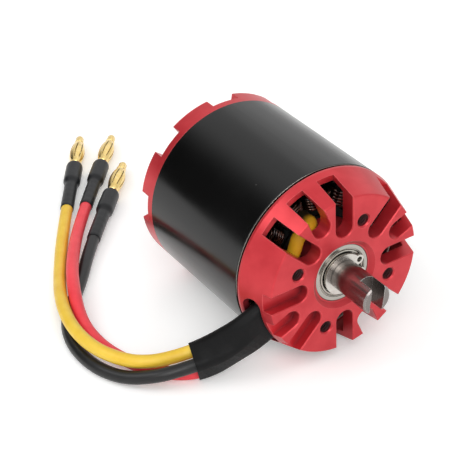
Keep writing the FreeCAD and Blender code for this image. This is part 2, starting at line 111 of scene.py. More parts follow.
def edgeLightMasks(tree, radius, gain, reach):
    # mask of the outward edges that get a painted highlight, the rounded normal, and how open the spot is,
    # which sets the painted shade in the finishes
    bevel = addNode(tree, "ShaderNodeBevel", {"samples": edgeLightSettings["bevelSamples"], "Radius": radius})
    geometry = addNode(tree, "ShaderNodeNewGeometry", {})
    dot = addNode(tree, "ShaderNodeVectorMath", {
        "operation": "DOT_PRODUCT", 0: bevel.outputs["Normal"], 1: geometry.outputs["True Normal"]})
    turned = addNode(tree, "ShaderNodeMapRange", {
        "Value": dot.outputs["Value"],
        "From Min": edgeLightSettings["unturned"], "From Max": edgeLightSettings["unturned"] - gain})
    openness = addNode(tree, "ShaderNodeAmbientOcclusion", {
        "samples": edgeLightSettings["opennessSamples"], "Distance": reach})
    outward = addNode(tree, "ShaderNodeMapRange", {
        "Value": openness.outputs["AO"],
        "From Min": edgeLightSettings["openness"][0], "From Max": edgeLightSettings["openness"][1]})
    paintedHighlight = addNode(tree, "ShaderNodeMath", {
        "operation": "MULTIPLY", 0: turned.outputs["Result"], 1: outward.outputs["Result"]})
    return paintedHighlight.outputs[0], bevel.outputs["Normal"], openness.outputs["AO"]


def addPiece(name, vertices, faces, body, material, smooth=True):
    mesh = bpy.data.meshes.new(name)
    mesh.from_pydata([tuple(v) for v in vertices], [], faces)
    mesh.update()
    if smooth:
        mesh.shade_smooth()
    piece = bpy.data.objects.new(name, mesh)
    bpy.context.scene.collection.objects.link(piece)
    mesh.materials.append(material)
    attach(piece, body)
    return piece


def gridFaces(rings, around, closed=False, offset=0):
    # quads between rings of points; closed joins the last ring to the first
    faces = []
    for i in range(rings if closed else rings - 1):
        for j in range(around):
            a = i * around + j
            b = i * around + (j + 1) % around
            c = ((i + 1) % rings) * around + (j + 1) % around
            d = ((i + 1) % rings) * around + j
            faces.append((offset + a, offset + b, offset + c, offset + d))
    return faces


def lathe(profile, steps, closed):
    # profile of (x, radius) turned about the shaft axis
    vertices = []
    for x, radius in profile:
        for j in range(steps):
            turn = 2 * math.pi * j / steps
            vertices.append((x, radius * math.cos(turn), radius * math.sin(turn)))
    return vertices, gridFaces(len(profile), steps, closed)


def sharpen(piece, degrees):
    piece.data.set_sharp_from_angle(angle=math.radians(degrees))


# camera
camera = {
    "place": (0.23543, -0.18843, 0.20653),
    "back": (0.7010, -0.4623, 0.5430),  # from the view's centre towards the camera
    "lens": 113.8,
    "sensor": 36,
    "clip": (0.01, 20),
}


def addCamera():
    data = bpy.data.cameras.new("camera")
    data.lens = camera["lens"]
    data.sensor_width = camera["sensor"]
    data.clip_start, data.clip_end = camera["clip"]
    eye = bpy.data.objects.new("camera", data)
    eye.location = camera["place"]
    eye.rotation_euler = Vector(camera["back"]).to_track_quat("Z", "Y").to_euler()
    bpy.context.scene.collection.objects.link(eye)
    bpy.context.scene.camera = eye


# studio
studio = {
    "floorHalf": 1.6,
    "floorColour": "#F7F7F6",
    "floorGlow": 0.22,
    "worldLevel": 0.62,
    "darkWay": (-0.82, -0.55, 0.22),  # a grey card stands on this side
    "cardEdge": (0.74, 0.97),  # cosine of the angle from darkWay, outer and inner
    "cardLevel": (0.88, 0.02),
    "lamps": [
        # name, place, size, watts
        ("key", (0.55, -0.25, 0.95), 0.95, 3.2),
        ("front", (0.72, -0.50, 0.58), 0.6, 2.6),
        ("side", (-0.22, -0.76, 0.88), 0.6, 2.4),
        ("back", (-0.75, 1.0, 0.9), 1.3, 1.1),
    ],
}


def addWorld():
    world = bpy.data.worlds.new("studio")
    world.use_nodes = True
    bpy.context.scene.world = world
    tree = world.node_tree
    tree.nodes.clear()
    path = addNode(tree, "ShaderNodeLightPath", {})
    coordinates = addNode(tree, "ShaderNodeTexCoord", {})
    towards = addNode(tree, "ShaderNodeVectorMath", {
        "operation": "DOT_PRODUCT", 0: coordinates.outputs["Generated"],
        1: Vector(studio["darkWay"]).normalized()})
    card = addNode(tree, "ShaderNodeMapRange", {
        "interpolation_type": "SMOOTHSTEP", "Value": towards.outputs["Value"],
        "From Min": studio["cardEdge"][0], "From Max": studio["cardEdge"][1],
        "To Min": studio["cardLevel"][0], "To Max": studio["cardLevel"][1]})
    plain = addNode(tree, "ShaderNodeBackground", {"Color": "#FFFFFF", "Strength": studio["worldLevel"]})
    seen = addNode(tree, "ShaderNodeBackground", {"Color": "#FFFFFF", "Strength": 1.0})
    mirrored = addNode(tree, "ShaderNodeBackground", {
        "Color": "#FFFFFF", "Strength": card.outputs["Result"]})
    glossy = addNode(tree, "ShaderNodeMath", {
        "operation": "MAXIMUM", 0: path.outputs["Is Glossy Ray"], 1: path.outputs["Is Transmission Ray"]})
    first = addNode(tree, "ShaderNodeMixShader", {
        0: glossy.outputs[0], 1: plain.outputs[0], 2: mirrored.outputs[0]})
    second = addNode(tree, "ShaderNodeMixShader", {
        0: path.outputs["Is Camera Ray"], 1: first.outputs[0], 2: seen.outputs[0]})
    addNode(tree, "ShaderNodeOutputWorld", {"Surface": second.outputs[0]})


def addFloor():
    half = studio["floorHalf"]
    mesh = bpy.data.meshes.new("floor")
    corners = [(-half, -half), (half, -half), (half, half), (-half, half)]
    mesh.from_pydata([(x, y, floorHeight) for x, y in corners], [], [(0, 1, 2, 3)])
    floor = bpy.data.objects.new("floor", mesh)
    bpy.context.scene.collection.objects.link(floor)
    material, tree, shader = newMaterial("paper sweep", studio["floorColour"], 0.0, 0.9)
    # white to the eye and in mirrors, while the shadow under the object stays
    path = addNode(tree, "ShaderNodeLightPath", {})
    seen = addNode(tree, "ShaderNodeMath", {
        "operation": "MAXIMUM", 0: path.outputs["Is Camera Ray"], 1: path.outputs["Is Glossy Ray"]})
    level = addNode(tree, "ShaderNodeMath", {
        "operation": "MULTIPLY", 0: seen.outputs[0], 1: studio["floorGlow"]})
    setNode(tree, shader, {"Emission Color": "#FFFFFF", "Emission Strength": level.outputs[0]})
    mesh.materials.append(material)


def addLamps():
    for name, place, size, watts in studio["lamps"]:
        data = bpy.data.lights.new(name, "AREA")
        data.shape = "DISK"
        data.size = size
        data.energy = watts
        lamp = bpy.data.objects.new(name, data)
        lamp.location = place
        lamp.rotation_euler = Vector(place).to_track_quat("Z", "Y").to_euler()
        bpy.context.scene.collection.objects.link(lamp)


# finishes
redFinish = {
    "tints": ("#BF2730", "#CB333B"),
    "slotShade": "#9A3038",
    "deepShade": "#24060B",
    "highlightColour": "#EE7F7E",
    "metallic": 0.5,
    "roughness": (0.31, 0.41),
    "coat": 0.12,
    "coatRoughness": 0.25,
    "tintSize": 6 * mm,
    "tintSpread": (0.35, 0.65),
    "markSize": 0.25 * mm,  # turning marks, coarser than real ones
    "grainSize": 0.15 * mm,  # blasted grain
    "relief": 0.16,
    "reliefDepth": 0.02 * mm,
    "edgeRadius": 0.16 * mm,
    "edgeGain": 0.22,
    "slotReach": 5 * mm,
    "deepOpenness": (0.05, 0.45),
    "slotOpenness": (0.40, 0.80),
}


def redAnodised():
    # aluminium alloy, turned and dyed red in the anodising bath: a soft metal sheen under a thin
    # clear oxide, with a painted highlight on the milled edges and painted shade down in the slots and holes
    red = redFinish
    material, tree, shader = newMaterial("red anodised aluminium", "#C62D35", red["metallic"], 0.36)
    where = addNode(tree, "ShaderNodeTexCoord", {}).outputs["Object"]
    body = mottle(tree, where, red["tintSize"], 3.0, *red["tints"], red["tintSpread"])[0]
    paintedHighlight, rounded, openness = edgeLightMasks(tree, red["edgeRadius"], red["edgeGain"], red["slotReach"])
    # painted shade: the red turns dull, then near black, the more closed in the spot is
    deep = addNode(tree, "ShaderNodeMapRange", {
        "Value": openness, "From Min": red["deepOpenness"][0], "From Max": red["deepOpenness"][1]})
    shallow = addNode(tree, "ShaderNodeMapRange", {
        "Value": openness, "From Min": red["slotOpenness"][0], "From Max": red["slotOpenness"][1]})
    lower = addNode(tree, "ShaderNodeMix", {
        "data_type": "RGBA", 0: deep.outputs["Result"], 6: red["deepShade"], 7: red["slotShade"]})
    inside = addNode(tree, "ShaderNodeMix", {
        "data_type": "RGBA", 0: shallow.outputs["Result"], 6: lower.outputs[2], 7: body})
    # painted highlight: the outward edges take a pale pink
    edge = addNode(tree, "ShaderNodeMix", {
        "data_type": "RGBA", 0: paintedHighlight, 6: inside.outputs[2], 7: red["highlightColour"]})
    # rings about the shaft and a grain all over
    apart = addNode(tree, "ShaderNodeSeparateXYZ", {"Vector": where})
    flat = addNode(tree, "ShaderNodeCombineXYZ", {"Y": apart.outputs["Y"], "Z": apart.outputs["Z"]})
    reach = addNode(tree, "ShaderNodeVectorMath", {"operation": "LENGTH", 0: flat.outputs["Vector"]})
    rings = addNode(tree, "ShaderNodeTexNoise", {
        "noise_dimensions": "1D", "W": reach.outputs["Value"], "Scale": 1 / red["markSize"], "Detail": 2.0})
    grain = addNode(tree, "ShaderNodeTexNoise", {
        "Vector": where, "Scale": 1 / red["grainSize"], "Detail": 2.0})
    both = addNode(tree, "ShaderNodeMath", {
        "operation": "ADD", 0: rings.outputs["Fac"], 1: grain.outputs["Fac"]})
    bump = addNode(tree, "ShaderNodeBump", {
        "Height": both.outputs[0], "Normal": rounded,
        "Strength": red["relief"], "Distance": red["reliefDepth"]})
    rough = addNode(tree, "ShaderNodeMapRange", {
        "Value": grain.outputs["Fac"], "From Min": noiseRange[0], "From Max": noiseRange[1],
        "To Min": red["roughness"][0], "To Max": red["roughness"][1]})
    setNode(tree, shader, {
        "Base Color": edge.outputs[2], "Roughness": rough.outputs["Result"],
        "Normal": bump.outputs["Normal"],
        "Coat Weight": red["coat"], "Coat Roughness": red["coatRoughness"]})
    return material


canFinish = {
    "enamel": "#090909",
    "dust": "#6A6A67",
    "bareSteel": "#8E8A84",
    "bareFrom": canFront - 0.10 * mm,
    "bareTo": canFront - 0.05 * mm,
    "shine": 0.37,
    "roughness": (0.17, 0.25),
    "smearSize": 14 * mm,
    "peelSize": 1.5 * mm,  # the enamel flows in a faint orange peel
    "peelDepth": 0.05 * mm,
    "peel": 0.05,
    "dustEvery": 8 * mm,
    "speck": (0.010, 0.020),  # clear core and soft edge, in dustEvery
}


def blackCanPaint():
    # steel tube, black enamelled and half glossy; the cut front edge is left bare and shines
    can = canFinish
    material, tree, shader = newMaterial("black enamelled steel", can["enamel"], 0.0, 0.27)
    where = addNode(tree, "ShaderNodeTexCoord", {}).outputs["Object"]
    apart = addNode(tree, "ShaderNodeSeparateXYZ", {"Vector": where})
    bare = addNode(tree, "ShaderNodeMapRange", {
        "Value": apart.outputs["X"], "From Min": can["bareFrom"], "From Max": can["bareTo"]})
    specks = addNode(tree, "ShaderNodeTexVoronoi", {"Vector": where, "Scale": 1 / can["dustEvery"]})
    dust = addNode(tree, "ShaderNodeMapRange", {
        "Value": specks.outputs["Distance"], "From Min": can["speck"][0], "From Max": can["speck"][1],
        "To Min": 1.0, "To Max": 0.0})
    shade = addNode(tree, "ShaderNodeMix", {
        "data_type": "RGBA", 0: dust.outputs["Result"], 6: can["enamel"], 7: can["dust"]})
    colour = addNode(tree, "ShaderNodeMix", {
        "data_type": "RGBA", 0: bare.outputs["Result"], 6: shade.outputs[2], 7: can["bareSteel"]})
    smear = addNode(tree, "ShaderNodeTexNoise", {
        "Vector": where, "Scale": 1 / can["smearSize"], "Detail": 4.0})
    rough = addNode(tree, "ShaderNodeMapRange", {
        "Value": smear.outputs["Fac"], "From Min": noiseRange[0], "From Max": noiseRange[1],
        "To Min": can["roughness"][0], "To Max": can["roughness"][1]})
    peel = addNode(tree, "ShaderNodeTexNoise", {
        "Vector": where, "Scale": 1 / can["peelSize"], "Detail": 2.0})
    bump = addNode(tree, "ShaderNodeBump", {
        "Height": peel.outputs["Fac"], "Strength": can["peel"], "Distance": can["peelDepth"]})
    setNode(tree, shader, {
        "Base Color": colour.outputs[2], "Metallic": bare.outputs["Result"],
        "Roughness": rough.outputs["Result"],
        "Normal": bump.outputs["Normal"], "Specular IOR Level": can["shine"]})
    return material


groundFinish = {
    "ringSize": 0.12 * mm,  # grinding rings along the shaft
    "relief": 0.12,
    "reliefDepth": 0.01 * mm,
    "edgeRadius": 0.12 * mm,
    "edgeGain": 0.25,
    "cornerReach": 1.2 * mm,
    "cornerOpenness": (0.10, 0.60),
    "cornerShade": "#1A1716",
}


def groundSteel(name, low, high, roughness, highlightColour):
    # hardened steel, cylindrically ground: fine rings round the shaft, painted shade in the inside corners
    # and a painted highlight on the broken edges
    ground = groundFinish
    material, tree, shader = newMaterial(name, low, 1.0, roughness)
    coordinates = addNode(tree, "ShaderNodeTexCoord", {})
    apart = addNode(tree, "ShaderNodeSeparateXYZ", {"Vector": coordinates.outputs["Object"]})
    rings = addNode(tree, "ShaderNodeTexNoise", {
        "noise_dimensions": "1D", "W": apart.outputs["X"], "Scale": 1 / ground["ringSize"], "Detail": 3.0})
    colour = addNode(tree, "ShaderNodeMix", {"data_type": "RGBA", 0: rings.outputs["Fac"], 6: low, 7: high})
    paintedHighlight, rounded, openness = edgeLightMasks(
        tree, ground["edgeRadius"], ground["edgeGain"], ground["cornerReach"])
    # painted shade: the colour goes near black where the spot is closed in
    shade = addNode(tree, "ShaderNodeMapRange", {
        "Value": openness, "From Min": ground["cornerOpenness"][0], "From Max": ground["cornerOpenness"][1]})
    inside = addNode(tree, "ShaderNodeMix", {
        "data_type": "RGBA", 0: shade.outputs["Result"], 6: ground["cornerShade"], 7: colour.outputs[2]})
    # painted highlight: the outward edges take a pale colour
    edge = addNode(tree, "ShaderNodeMix", {"data_type": "RGBA", 0: paintedHighlight, 6: inside.outputs[2], 7: highlightColour})
    bump = addNode(tree, "ShaderNodeBump", {
        "Height": rings.outputs["Fac"], "Normal": rounded,
        "Strength": ground["relief"], "Distance": ground["reliefDepth"]})
    setNode(tree, shader, {"Base Color": edge.outputs[2], "Normal": bump.outputs["Normal"]})
    return material


pressedFinish = {
    "cloudSize": 2 * mm,
    "smoother": 0.04,
    "rougher": 0.06,
    "relief": 0.06,
    "reliefDepth": 0.02 * mm,
    "edgeRadius": 0.06 * mm,
    "edgeGain": 0.25,
    "cornerReach": 1.0 * mm,
    "cornerOpenness": (0.15, 0.65),
    "cornerShade": "#141211",
}


def pressedSteel(name, low, high, roughness):
    # sheet steel, pressed or phosphated: cloudy, with painted shade in its corners and a painted highlight
    # on its edges
    pressed = pressedFinish
    material, tree, shader = newMaterial(name, low, 1.0, roughness)
    where = addNode(tree, "ShaderNodeTexCoord", {}).outputs["Object"]
    colour, cloud = mottle(tree, where, pressed["cloudSize"], 4.0, low, high)
    paintedHighlight, rounded, openness = edgeLightMasks(
        tree, pressed["edgeRadius"], pressed["edgeGain"], pressed["cornerReach"])
    # painted shade: the colour goes near black where the spot is closed in
    shade = addNode(tree, "ShaderNodeMapRange", {
        "Value": openness,
        "From Min": pressed["cornerOpenness"][0], "From Max": pressed["cornerOpenness"][1]})
    inside = addNode(tree, "ShaderNodeMix", {
        "data_type": "RGBA", 0: shade.outputs["Result"], 6: pressed["cornerShade"], 7: colour})
    # painted highlight: the edges take the paler colour
    edge = addNode(tree, "ShaderNodeMix", {"data_type": "RGBA", 0: paintedHighlight, 6: inside.outputs[2], 7: high})
    bump = addNode(tree, "ShaderNodeBump", {
        "Height": cloud, "Normal": rounded,
        "Strength": pressed["relief"], "Distance": pressed["reliefDepth"]})
    rough = addNode(tree, "ShaderNodeMapRange", {
        "Value": cloud, "From Min": noiseRange[0], "From Max": noiseRange[1],
        "To Min": roughness - pressed["smoother"], "To Max": roughness + pressed["rougher"]})
    setNode(tree, shader, {
        "Base Color": edge.outputs[2], "Roughness": rough.outputs["Result"],
        "Normal": bump.outputs["Normal"]})
    return material


laminationFinish = {
    "colours": ("#24211F", "#57524E"),
    "sheet": 0.35 * mm,
    "relief": 0.4,
    "reliefDepth": 0.03 * mm,
}


def laminationSteel():
    # silicon steel sheets, stacked and varnished: dark, with a line at every sheet
    core = laminationFinish
    material, tree, shader = newMaterial("varnished lamination steel", "#3E3C3B", 0.8, 0.45)
    coordinates = addNode(tree, "ShaderNodeTexCoord", {})
    # a wave texture repeats 20 times in a metre at scale 1
    sheets = addNode(tree, "ShaderNodeTexWave", {
        "bands_direction": "X", "Vector": coordinates.outputs["Object"], "Scale": 1 / core["sheet"] / 20})
    colour = addNode(tree, "ShaderNodeMix", {
        "data_type": "RGBA", 0: sheets.outputs["Fac"], 6: core["colours"][0], 7: core["colours"][1]})
    bump = addNode(tree, "ShaderNodeBump", {
        "Height": sheets.outputs["Fac"], "Strength": core["relief"], "Distance": core["reliefDepth"]})
    setNode(tree, shader, {"Base Color": colour.outputs[2], "Normal": bump.outputs["Normal"]})
    return material


copperFinish = {
    "colours": ("#140A06", "#6A3F26"),
    "spread": (0.42, 0.74),
    "poolSize": 1.6 * mm,
    "varnish": 0.8,
    "varnishRoughness": 0.08,
}


def enamelledCopper():
    # copper wire under dark amber enamel and dipping varnish, which pools between the turns
    copper = copperFinish
    material, tree, shader = newMaterial("enamelled copper wire", "#4A2413", 0.85, 0.22)
    where = addNode(tree, "ShaderNodeTexCoord", {}).outputs["Object"]
    colour = mottle(tree, where, copper["poolSize"], 4.0, *copper["colours"], copper["spread"])[0]
    setNode(tree, shader, {
        "Base Color": colour,
        "Coat Weight": copper["varnish"], "Coat Roughness": copper["varnishRoughness"]})
    return material


goldFinish = {
    "colours": ("#E3BC62", "#F9E3A6"),
    "wearSize": 1.2 * mm,
    "roughness": (0.16, 0.28),
}


def goldPlate():
    # brass, turned and flash gold plated: warm and bright, worn in patches
    gold = goldFinish
    material, tree, shader = newMaterial("gold plated brass", "#EBCB7C", 1.0, 0.2)
    where = addNode(tree, "ShaderNodeTexCoord", {}).outputs["Object"]
    colour, wear = mottle(tree, where, gold["wearSize"], 5.0, *gold["colours"])
    rough = addNode(tree, "ShaderNodeMapRange", {
        "Value": wear, "From Min": noiseRange[0], "From Max": noiseRange[1],
        "To Min": gold["roughness"][0], "To Max": gold["roughness"][1]})
    setNode(tree, shader, {"Base Color": colour, "Roughness": rough.outputs["Result"]})
    return material


plasticFinish = {
    "dustSize": 4 * mm,
    "dustSpread": (0.3, 0.7),
    "reliefDepth": 0.05 * mm,
    "smoother": 0.05,
    "rougher": 0.08,
}


def softPlastic(name, low, high, roughness, grainSize, relief, shine=0.5):
    # extruded silicone or polyolefin: a dry satin skin, clouded by dust, with a fine grain
    material, tree, shader = newMaterial(name, low, 0.0, roughness)
    where = addNode(tree, "ShaderNodeTexCoord", {}).outputs["Object"]
    colour = mottle(tree, where, plasticFinish["dustSize"], 4.0, low, high, plasticFinish["dustSpread"])[0]
    grain = addNode(tree, "ShaderNodeTexNoise", {"Vector": where, "Scale": 1 / grainSize, "Detail": 3.0})
    bump = addNode(tree, "ShaderNodeBump", {
        "Height": grain.outputs["Fac"], "Strength": relief, "Distance": plasticFinish["reliefDepth"]})
    rough = addNode(tree, "ShaderNodeMapRange", {
        "Value": grain.outputs["Fac"], "From Min": noiseRange[0], "From Max": noiseRange[1],
        "To Min": roughness - plasticFinish["smoother"], "To Max": roughness + plasticFinish["rougher"]})
    setNode(tree, shader, {
        "Base Color": colour, "Roughness": rough.outputs["Result"],
        "Specular IOR Level": shine, "Normal": bump.outputs["Normal"]})
    return material


# painted shade on the lead tails inside the mount: full at the first depth and gone by the second
tailShade = {
    "fullShade": "#1D1608",
    "dark": -9 * mm,  # behind the face
    "unshaded": -7 * mm,
}


def shadedTailSilicone(name, low, high):
    # the same silicone inside the mount, dull and in a darker copy, with painted shade that deepens to near
    # black towards the windings
    material = softPlastic(name, low, high, 0.5, 0.4 * mm, 0.12, 0.25)
    tree = material.node_tree
    shader = tree.nodes["Principled BSDF"]
    plain = shader.inputs["Base Color"].links[0].from_socket
    coordinates = addNode(tree, "ShaderNodeTexCoord", {})
    apart = addNode(tree, "ShaderNodeSeparateXYZ", {"Vector": coordinates.outputs["Object"]})
    shadeShare = addNode(tree, "ShaderNodeMapRange", {
        "Value": apart.outputs["X"], "From Min": tailShade["dark"], "From Max": tailShade["unshaded"],
        "To Min": 1.0, "To Max": 0.0})
    colour = addNode(tree, "ShaderNodeMix", {
        "data_type": "RGBA", 0: shadeShare.outputs["Result"], 6: plain, 7: tailShade["fullShade"]})
    setNode(tree, shader, {"Base Color": colour.outputs[2]})
    return material


# leads
leads = {
    "radius": 1.75 * mm,
    "routes": {
        "yellow": [
            (-0.0062, -0.0199, -0.0050), (-0.0063, -0.0252, -0.0082), (-0.0102, -0.0300, -0.0132),
            (-0.0146, -0.0346, -0.0180), (-0.0168, -0.0404, -0.0194), (-0.0180, -0.0460, -0.0192),
            (-0.0220, -0.0510, -0.0192), (-0.0305, -0.0550, -0.0192), (-0.0415, -0.0554, -0.0192),
            (-0.0530, -0.0524, -0.0195), (-0.0675, -0.0456, -0.0222), (-0.0892, -0.0329, -0.02235),
            (-0.1100, -0.0190, -0.02235),
        ],
        "black": [
            (-0.0062, -0.0182, -0.0085), (-0.0061, -0.0233, -0.0120), (-0.0072, -0.0302, -0.0159),
            (-0.0102, -0.0352, -0.0188), (-0.0114, -0.0413, -0.0195), (-0.0140, -0.0470, -0.0208),
            (-0.0205, -0.0528, -0.0230), (-0.0300, -0.0566, -0.02325), (-0.0420, -0.0562, -0.02325),
            (-0.0530, -0.0510, -0.02325), (-0.0612, -0.0428, -0.02325), (-0.0766, -0.0310, -0.0224),
            (-0.0906, -0.0186, -0.0224),
        ],
        "red": [
            (-0.0062, -0.0165, -0.0121), (-0.0062, -0.0213, -0.0150), (-0.0089, -0.0274, -0.0190),
            (-0.0112, -0.0330, -0.0226), (-0.0134, -0.0388, -0.02315), (-0.0185, -0.0440, -0.02325),
            (-0.0260, -0.0482, -0.02325), (-0.0355, -0.0506, -0.0232), (-0.0450, -0.0508, -0.0216),
            (-0.0555, -0.0473, -0.0192), (-0.0672, -0.0417, -0.0192), (-0.0880, -0.0286, -0.02235),
            (-0.1070, -0.0126, -0.02235),
        ],
    },
    "lengths": {"yellow": 0.1385, "black": 0.1257, "red": 0.1353},
}
plugSizes = {
    "cup": 9.5 * mm,
    "cupRadius": 2.3 * mm,
    "collar": 2.5 * mm,
    "collarRadius": 1.65 * mm,
    "coreRadius": 1.2 * mm,
    "nose": 4.6 * mm,
    "noseRadius": 1.5 * mm,
    "groove": 0.22 * mm,
    "underShrink": 0.05 * mm,
    "around": 40,
}
cageSizes = {
    "length": 11.4 * mm,
    "radius": 2.3 * mm,
    "endRise": 0.3 * mm,  # the bands stand this far off the core
    "clearance": 0.05 * mm,
    "leaves": 8,
    "perLeaf": 6,  # strips across a leaf, and the last of them is the slit
    "wall": 0.22 * mm,
    "band": 0.13,  # share of the length at each end that stays whole
    "flat": 0.03,  # share at each end before the barrel swells
    "fullness": 0.75,  # below 1 the barrel swells sooner
    "lean": 0.35,  # radians round the barrel from end to end
    "stations": 25,
}
shrink = {
    "overWire": 15.0 * mm,
    "overCup": plugSizes["cup"],
    "thin": 2.0 * mm,
    "thick": 2.55 * mm,
    "wireGap": 0.02 * mm,
    "mouthGap": 0.05 * mm,
    "stepStart": 1.6 * mm,  # before the end of the wire
    "stepLength": 2.2 * mm,
    "pinch": 0.035,
    "pinchLength": 0.5 * mm,
    "lipDrop": 0.12 * mm,
    "lipLength": 0.4 * mm,
    "rippleDepth": 0.025 * mm,
    "rippleTurn": 1100,  # radians in a metre
    "outOfRound": 0.008,
    "twist": 300,  # radians in a metre
    "stations": 46,
    "around": 32,
}


def smoothCurve(name, route, resolution):
    curve = bpy.data.curves.new(name, "CURVE")
    curve.dimensions = "3D"
    curve.resolution_u = resolution
    spline = curve.splines.new("NURBS")
    spline.points.add(len(route) - 1)
    for point, place in zip(spline.points, route):
        point.co = (*place, 1)
    spline.order_u = 3
    spline.use_endpoint_u = True
    return curve


def centreLine(route):
    # points on the smooth line that the route steers
    curve = smoothCurve("line", route, 24)
    holder = bpy.data.objects.new("line", curve)
    bpy.context.scene.collection.objects.link(holder)
    bpy.context.view_layer.update()
    mesh = bpy.data.meshes.new_from_object(holder)
    points = [v.co.copy() for v in mesh.vertices]
    bpy.data.objects.remove(holder)
    bpy.data.meshes.remove(mesh)
    bpy.data.curves.remove(curve)
    return points


def addLead(colour, material):
    curve = smoothCurve(colour + "Lead", leads["routes"][colour], 20)
    curve.bevel_depth = leads["radius"]
    curve.bevel_resolution = 7
    curve.use_fill_caps = True
    curve.materials.append(material)
    lead = bpy.data.objects.new(colour + "Lead", curve)
    bpy.context.scene.collection.objects.link(lead)
    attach(lead, "stator")
    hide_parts(colour + "_lead")
    return lead


def atDistance(points, distance):
    # place and heading at a distance along a chain of points
    gone = 0.0
    for start, end in zip(points, points[1:]):
        step = (end - start).length
        if gone + step >= distance or end is points[-1]:
            heading = (end - start).normalized()
            return start + heading * (distance - gone), heading
        gone += step


def chainLength(points):
    return sum((b - a).length for a, b in zip(points, points[1:]))


def ringAt(place, heading, radius, count, wobble=None):
    side = heading.cross(Vector((0, 0, 1))).normalized()
    lift = side.cross(heading)
    ring = []
    for j in range(count):
        turn = 2 * math.pi * j / count
        reach = radius * (1 + (wobble(turn) if wobble else 0.0))
        ring.append(place + side * reach * math.cos(turn) + lift * reach * math.sin(turn))
    return ring


def smoothStep(t):
    t = min(1.0, max(0.0, t))
    return t * t * (3 - 2 * t)


def addHeatshrink(colour, points, material, seed):
    # shrunk tube: snug on the wire, stepped up over the solder cup, with slight ripples
    chance = random.Random(seed)
    phases = [chance.uniform(0, 6.28) for _ in range(3)]
    total = chainLength(points)
    end = points[-1]
    heading = (points[-1] - points[-2]).normalized()
    count = shrink["around"]
    full = shrink["overWire"] + shrink["overCup"]
    rings = []
    start, startHeading = atDistance(points, total - shrink["overWire"])
    rings.append(ringAt(start, startHeading, leads["radius"] + shrink["wireGap"], count))
    for i in range(shrink["stations"]):
        gone = full * i / (shrink["stations"] - 1)
        rise = smoothStep((gone - shrink["overWire"] + shrink["stepStart"]) / shrink["stepLength"])
        fold = smoothStep((full - gone) / shrink["pinchLength"])
        lipIn = smoothStep(gone / shrink["lipLength"])
        ripple = math.sin(gone * shrink["rippleTurn"] + phases[0]) ** 2
        radius = shrink["thin"] + (shrink["thick"] - shrink["thin"]) * rise
        radius *= 1 - shrink["pinch"] * (1 - fold)
        radius -= shrink["lipDrop"] * (1 - lipIn)
        radius -= shrink["rippleDepth"] * (1 - rise) * ripple
        if gone <= shrink["overWire"]:
            place, way = atDistance(points, total - shrink["overWire"] + gone)
        else:
            place, way = end + heading * (gone - shrink["overWire"]), heading

        def wobble(turn, gone=gone, rise=rise):
            wave = math.sin(2 * turn + phases[1] + gone * shrink["twist"])
            return shrink["outOfRound"] * wave * (1 - 0.5 * rise)

        rings.append(ringAt(place, way, radius, count, wobble))
    mouth = plugSizes["collarRadius"] + shrink["mouthGap"]
    rings.append(ringAt(end + heading * shrink["overCup"], heading, mouth, count))
    vertices = [v for ring in rings for v in ring]
    piece = addPiece(colour + "Heatshrink", vertices, gridFaces(len(rings), count), "stator",
                     material)
    sharpen(piece, 60)
    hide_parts(colour + "_heatshrink")
    return piece


def endFrame(points):
    # the move that lays a shape made along +X onto the end of the lead
    heading = (points[-1] - points[-2]).normalized()
    side = Vector((0, 0, 1)).cross(heading).normalized()
    lift = heading.cross(side)
    turn = Matrix((heading, side, lift)).transposed().to_4x4()
    return Matrix.Translation(points[-1]) @ turn


def plugProfile():
    # outline of (x, radius) from the solder cup to the tip
    s = plugSizes
    cup = s["cup"]
    collar = s["collarRadius"]
    nose = s["noseRadius"]
    groove = s["groove"]
    wide = s["cupRadius"] - s["underShrink"]
    collarEnd = cup + s["collar"]
    cageEnd = collarEnd + cageSizes["length"]
    tip = cageEnd + s["nose"]
    return [
        (cup - 0.6 * mm, 0), (cup - 0.6 * mm, wide), (cup - 0.02 * mm, wide), (cup, collar),
        (cup + 0.9 * mm, collar), (cup + 1.05 * mm, collar - groove), (cup + 1.5 * mm, collar - groove),
        (cup + 1.65 * mm, collar), (collarEnd - 0.12 * mm, collar), (collarEnd, collar - 0.12 * mm),
        (collarEnd, s["coreRadius"]), (cageEnd, s["coreRadius"]), (cageEnd, nose - 0.15 * mm),
        (cageEnd + 0.15 * mm, nose), (cageEnd + 0.7 * mm, nose), (cageEnd + 0.9 * mm, nose - groove),
        (tip - 1.3 * mm, nose - groove), (tip - 0.6 * mm, nose - 0.5 * mm),
        (tip - 0.15 * mm, nose - 0.95 * mm), (tip, nose - 1.2 * mm), (tip, 0),
    ]


def addPlug(colour, points, material):
    place = endFrame(points)
    vertices, faces = lathe(plugProfile(), plugSizes["around"], False)
    plug = addPiece(colour + "Plug", [place @ Vector(v) for v in vertices], faces, "stator",
                    material)
    sharpen(plug, 30)
    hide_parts(colour + "_plug")
    return plug


